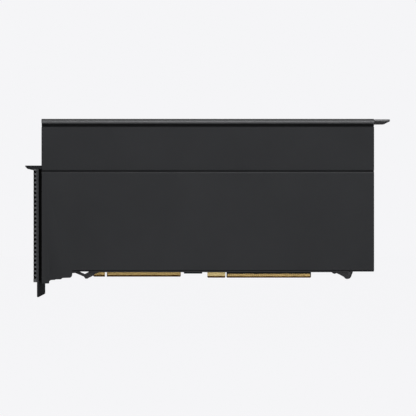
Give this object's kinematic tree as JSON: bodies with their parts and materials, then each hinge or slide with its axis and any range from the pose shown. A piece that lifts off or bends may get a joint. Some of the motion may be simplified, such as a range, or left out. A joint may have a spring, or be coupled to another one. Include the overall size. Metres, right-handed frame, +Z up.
{
  "type": "passive accelerator card",
  "caption": "Full-length dual-slot accelerator card, passively cooled, with a closed dark metal casing, perforated slot bracket and gold edge connectors.",
  "frame": {"origin": "centre of the key notch at the bottom edge of the 16-lane connector, in the middle of the board's thickness", "axes": "+X along the card from the slot bracket to the far end, +Z up out of the slots, component side toward -Y"},
  "size_m": [0.3413, 0.0391, 0.1668],
  "materials": {
    "casing": "fine matte black anodised",
    "rail": "satin black anodised",
    "black_frame": "matte black",
    "black_moulding": "fine moulded grain",
    "bracket": "matte black",
    "seal": "dull foam",
    "black_screw": "black oxide",
    "board": "black solder mask",
    "gold": "gold plated",
    "heat_sink": "plain rolled aluminium",
    "copper": "satin copper",
    "steel": "nickel plated",
    "substrate": "laminate",
    "silicon": "ground silicon",
    "ferrite": "pressed powder",
    "chip_plastic": "moulded epoxy",
    "pad": "soft silicone"
  },
  "bodies": {
    "root": {"front_cover": "casing", "upper_cover": "casing", "top_rail": "rail", "back_plate": "casing", "seam_rail": "black_frame", "end_frame": "black_frame", "bracket_frame": "black_frame", "corner_block": "black_moulding", "slot_bracket": "bracket", "vent_grille": "bracket", "bracket_seal": "seal", "bracket_screws": "black_screw", "circuit_board": "board", "x16_contacts": "gold", "aux_short_contacts": "gold", "aux_long_contacts": "gold", "finger_guard": "black_moulding", "rear_foot": "black_moulding", "foot_pin": "black_screw", "guard_screws": "black_screw", "heat_sink_base": "heat_sink", "fin_stack": "heat_sink", "heat_pipes": "copper", "board_standoffs": "steel", "board_screws": "black_screw", "rail_screws": "black_screw", "cover_screws": "black_screw", "processor_substrate": "substrate", "package_stiffener": "steel", "processor_die": "silicon", "memory_stacks": "silicon", "power_inductors": "ferrite", "power_stages": "chip_plastic", "thermal_pads": "pad", "capacitors": "chip_plastic", "controller_chips": "chip_plastic", "back_pad": "pad"}
  },
  "joints": []
}
